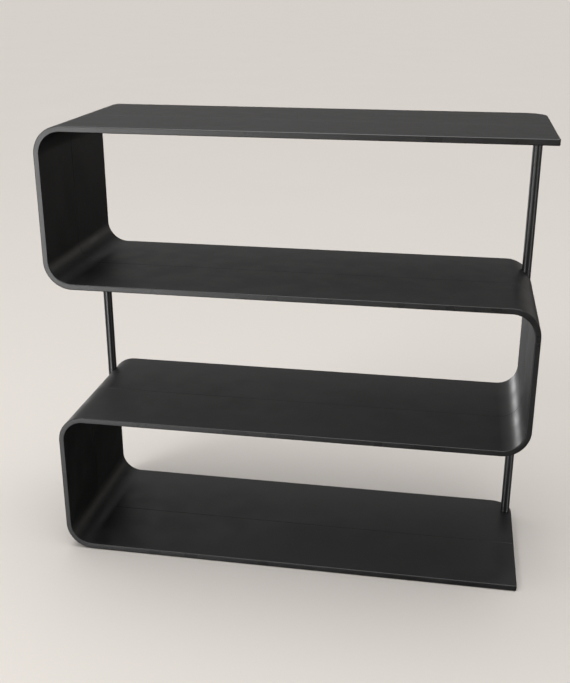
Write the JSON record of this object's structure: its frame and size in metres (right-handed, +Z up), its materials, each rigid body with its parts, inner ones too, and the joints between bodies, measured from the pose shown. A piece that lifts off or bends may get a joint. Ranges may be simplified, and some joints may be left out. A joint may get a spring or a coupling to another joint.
{
  "type": "zigzag bookshelf",
  "caption": "Free-standing zigzag bookshelf: a satin black board ribbon folded into stacked shelves with rounded bends, propped by slim round rods at its open ends.",
  "frame": {"origin": "on the floor, at the middle of the width and the depth", "axes": "+X to the right along the shelves, +Y from the front edge to the rear edge, +Z up"},
  "size_m": [1, 0.36, 0.9485],
  "materials": {
    "black_lacquered_board": "satin black lacquer over moulded plywood",
    "beech_tongue": "raw beech plywood",
    "black_coated_steel": "satin black powder coat",
    "turned_steel": "turned",
    "rubber_pad": "matt black"
  },
  "bodies": {
    "root": {"front_upper_left_moulding": "black_lacquered_board", "front_right_moulding": "black_lacquered_board", "front_lower_left_moulding": "black_lacquered_board", "front_top_shelf": "black_lacquered_board", "front_third_shelf": "black_lacquered_board", "front_second_shelf": "black_lacquered_board", "front_bottom_shelf": "black_lacquered_board", "rear_upper_left_moulding": "black_lacquered_board", "rear_right_moulding": "black_lacquered_board", "rear_lower_left_moulding": "black_lacquered_board", "rear_top_shelf": "black_lacquered_board", "rear_third_shelf": "black_lacquered_board", "rear_second_shelf": "black_lacquered_board", "rear_bottom_shelf": "black_lacquered_board", "front_joint_tongues": "beech_tongue", "rear_joint_tongues": "beech_tongue", "top_shelf_seam_tongue": "beech_tongue", "third_shelf_seam_tongue": "beech_tongue", "second_shelf_seam_tongue": "beech_tongue", "bottom_shelf_seam_tongue": "beech_tongue", "upper_left_moulding_seam_tongue": "beech_tongue", "right_moulding_seam_tongue": "beech_tongue", "lower_left_moulding_seam_tongue": "beech_tongue", "upper_right_rod": "black_coated_steel", "left_rod": "black_coated_steel", "lower_right_rod": "black_coated_steel", "shelf_end_spigots": "turned_steel", "bend_end_spigots": "turned_steel", "floor_pads": "rubber_pad"}
  },
  "joints": []
}
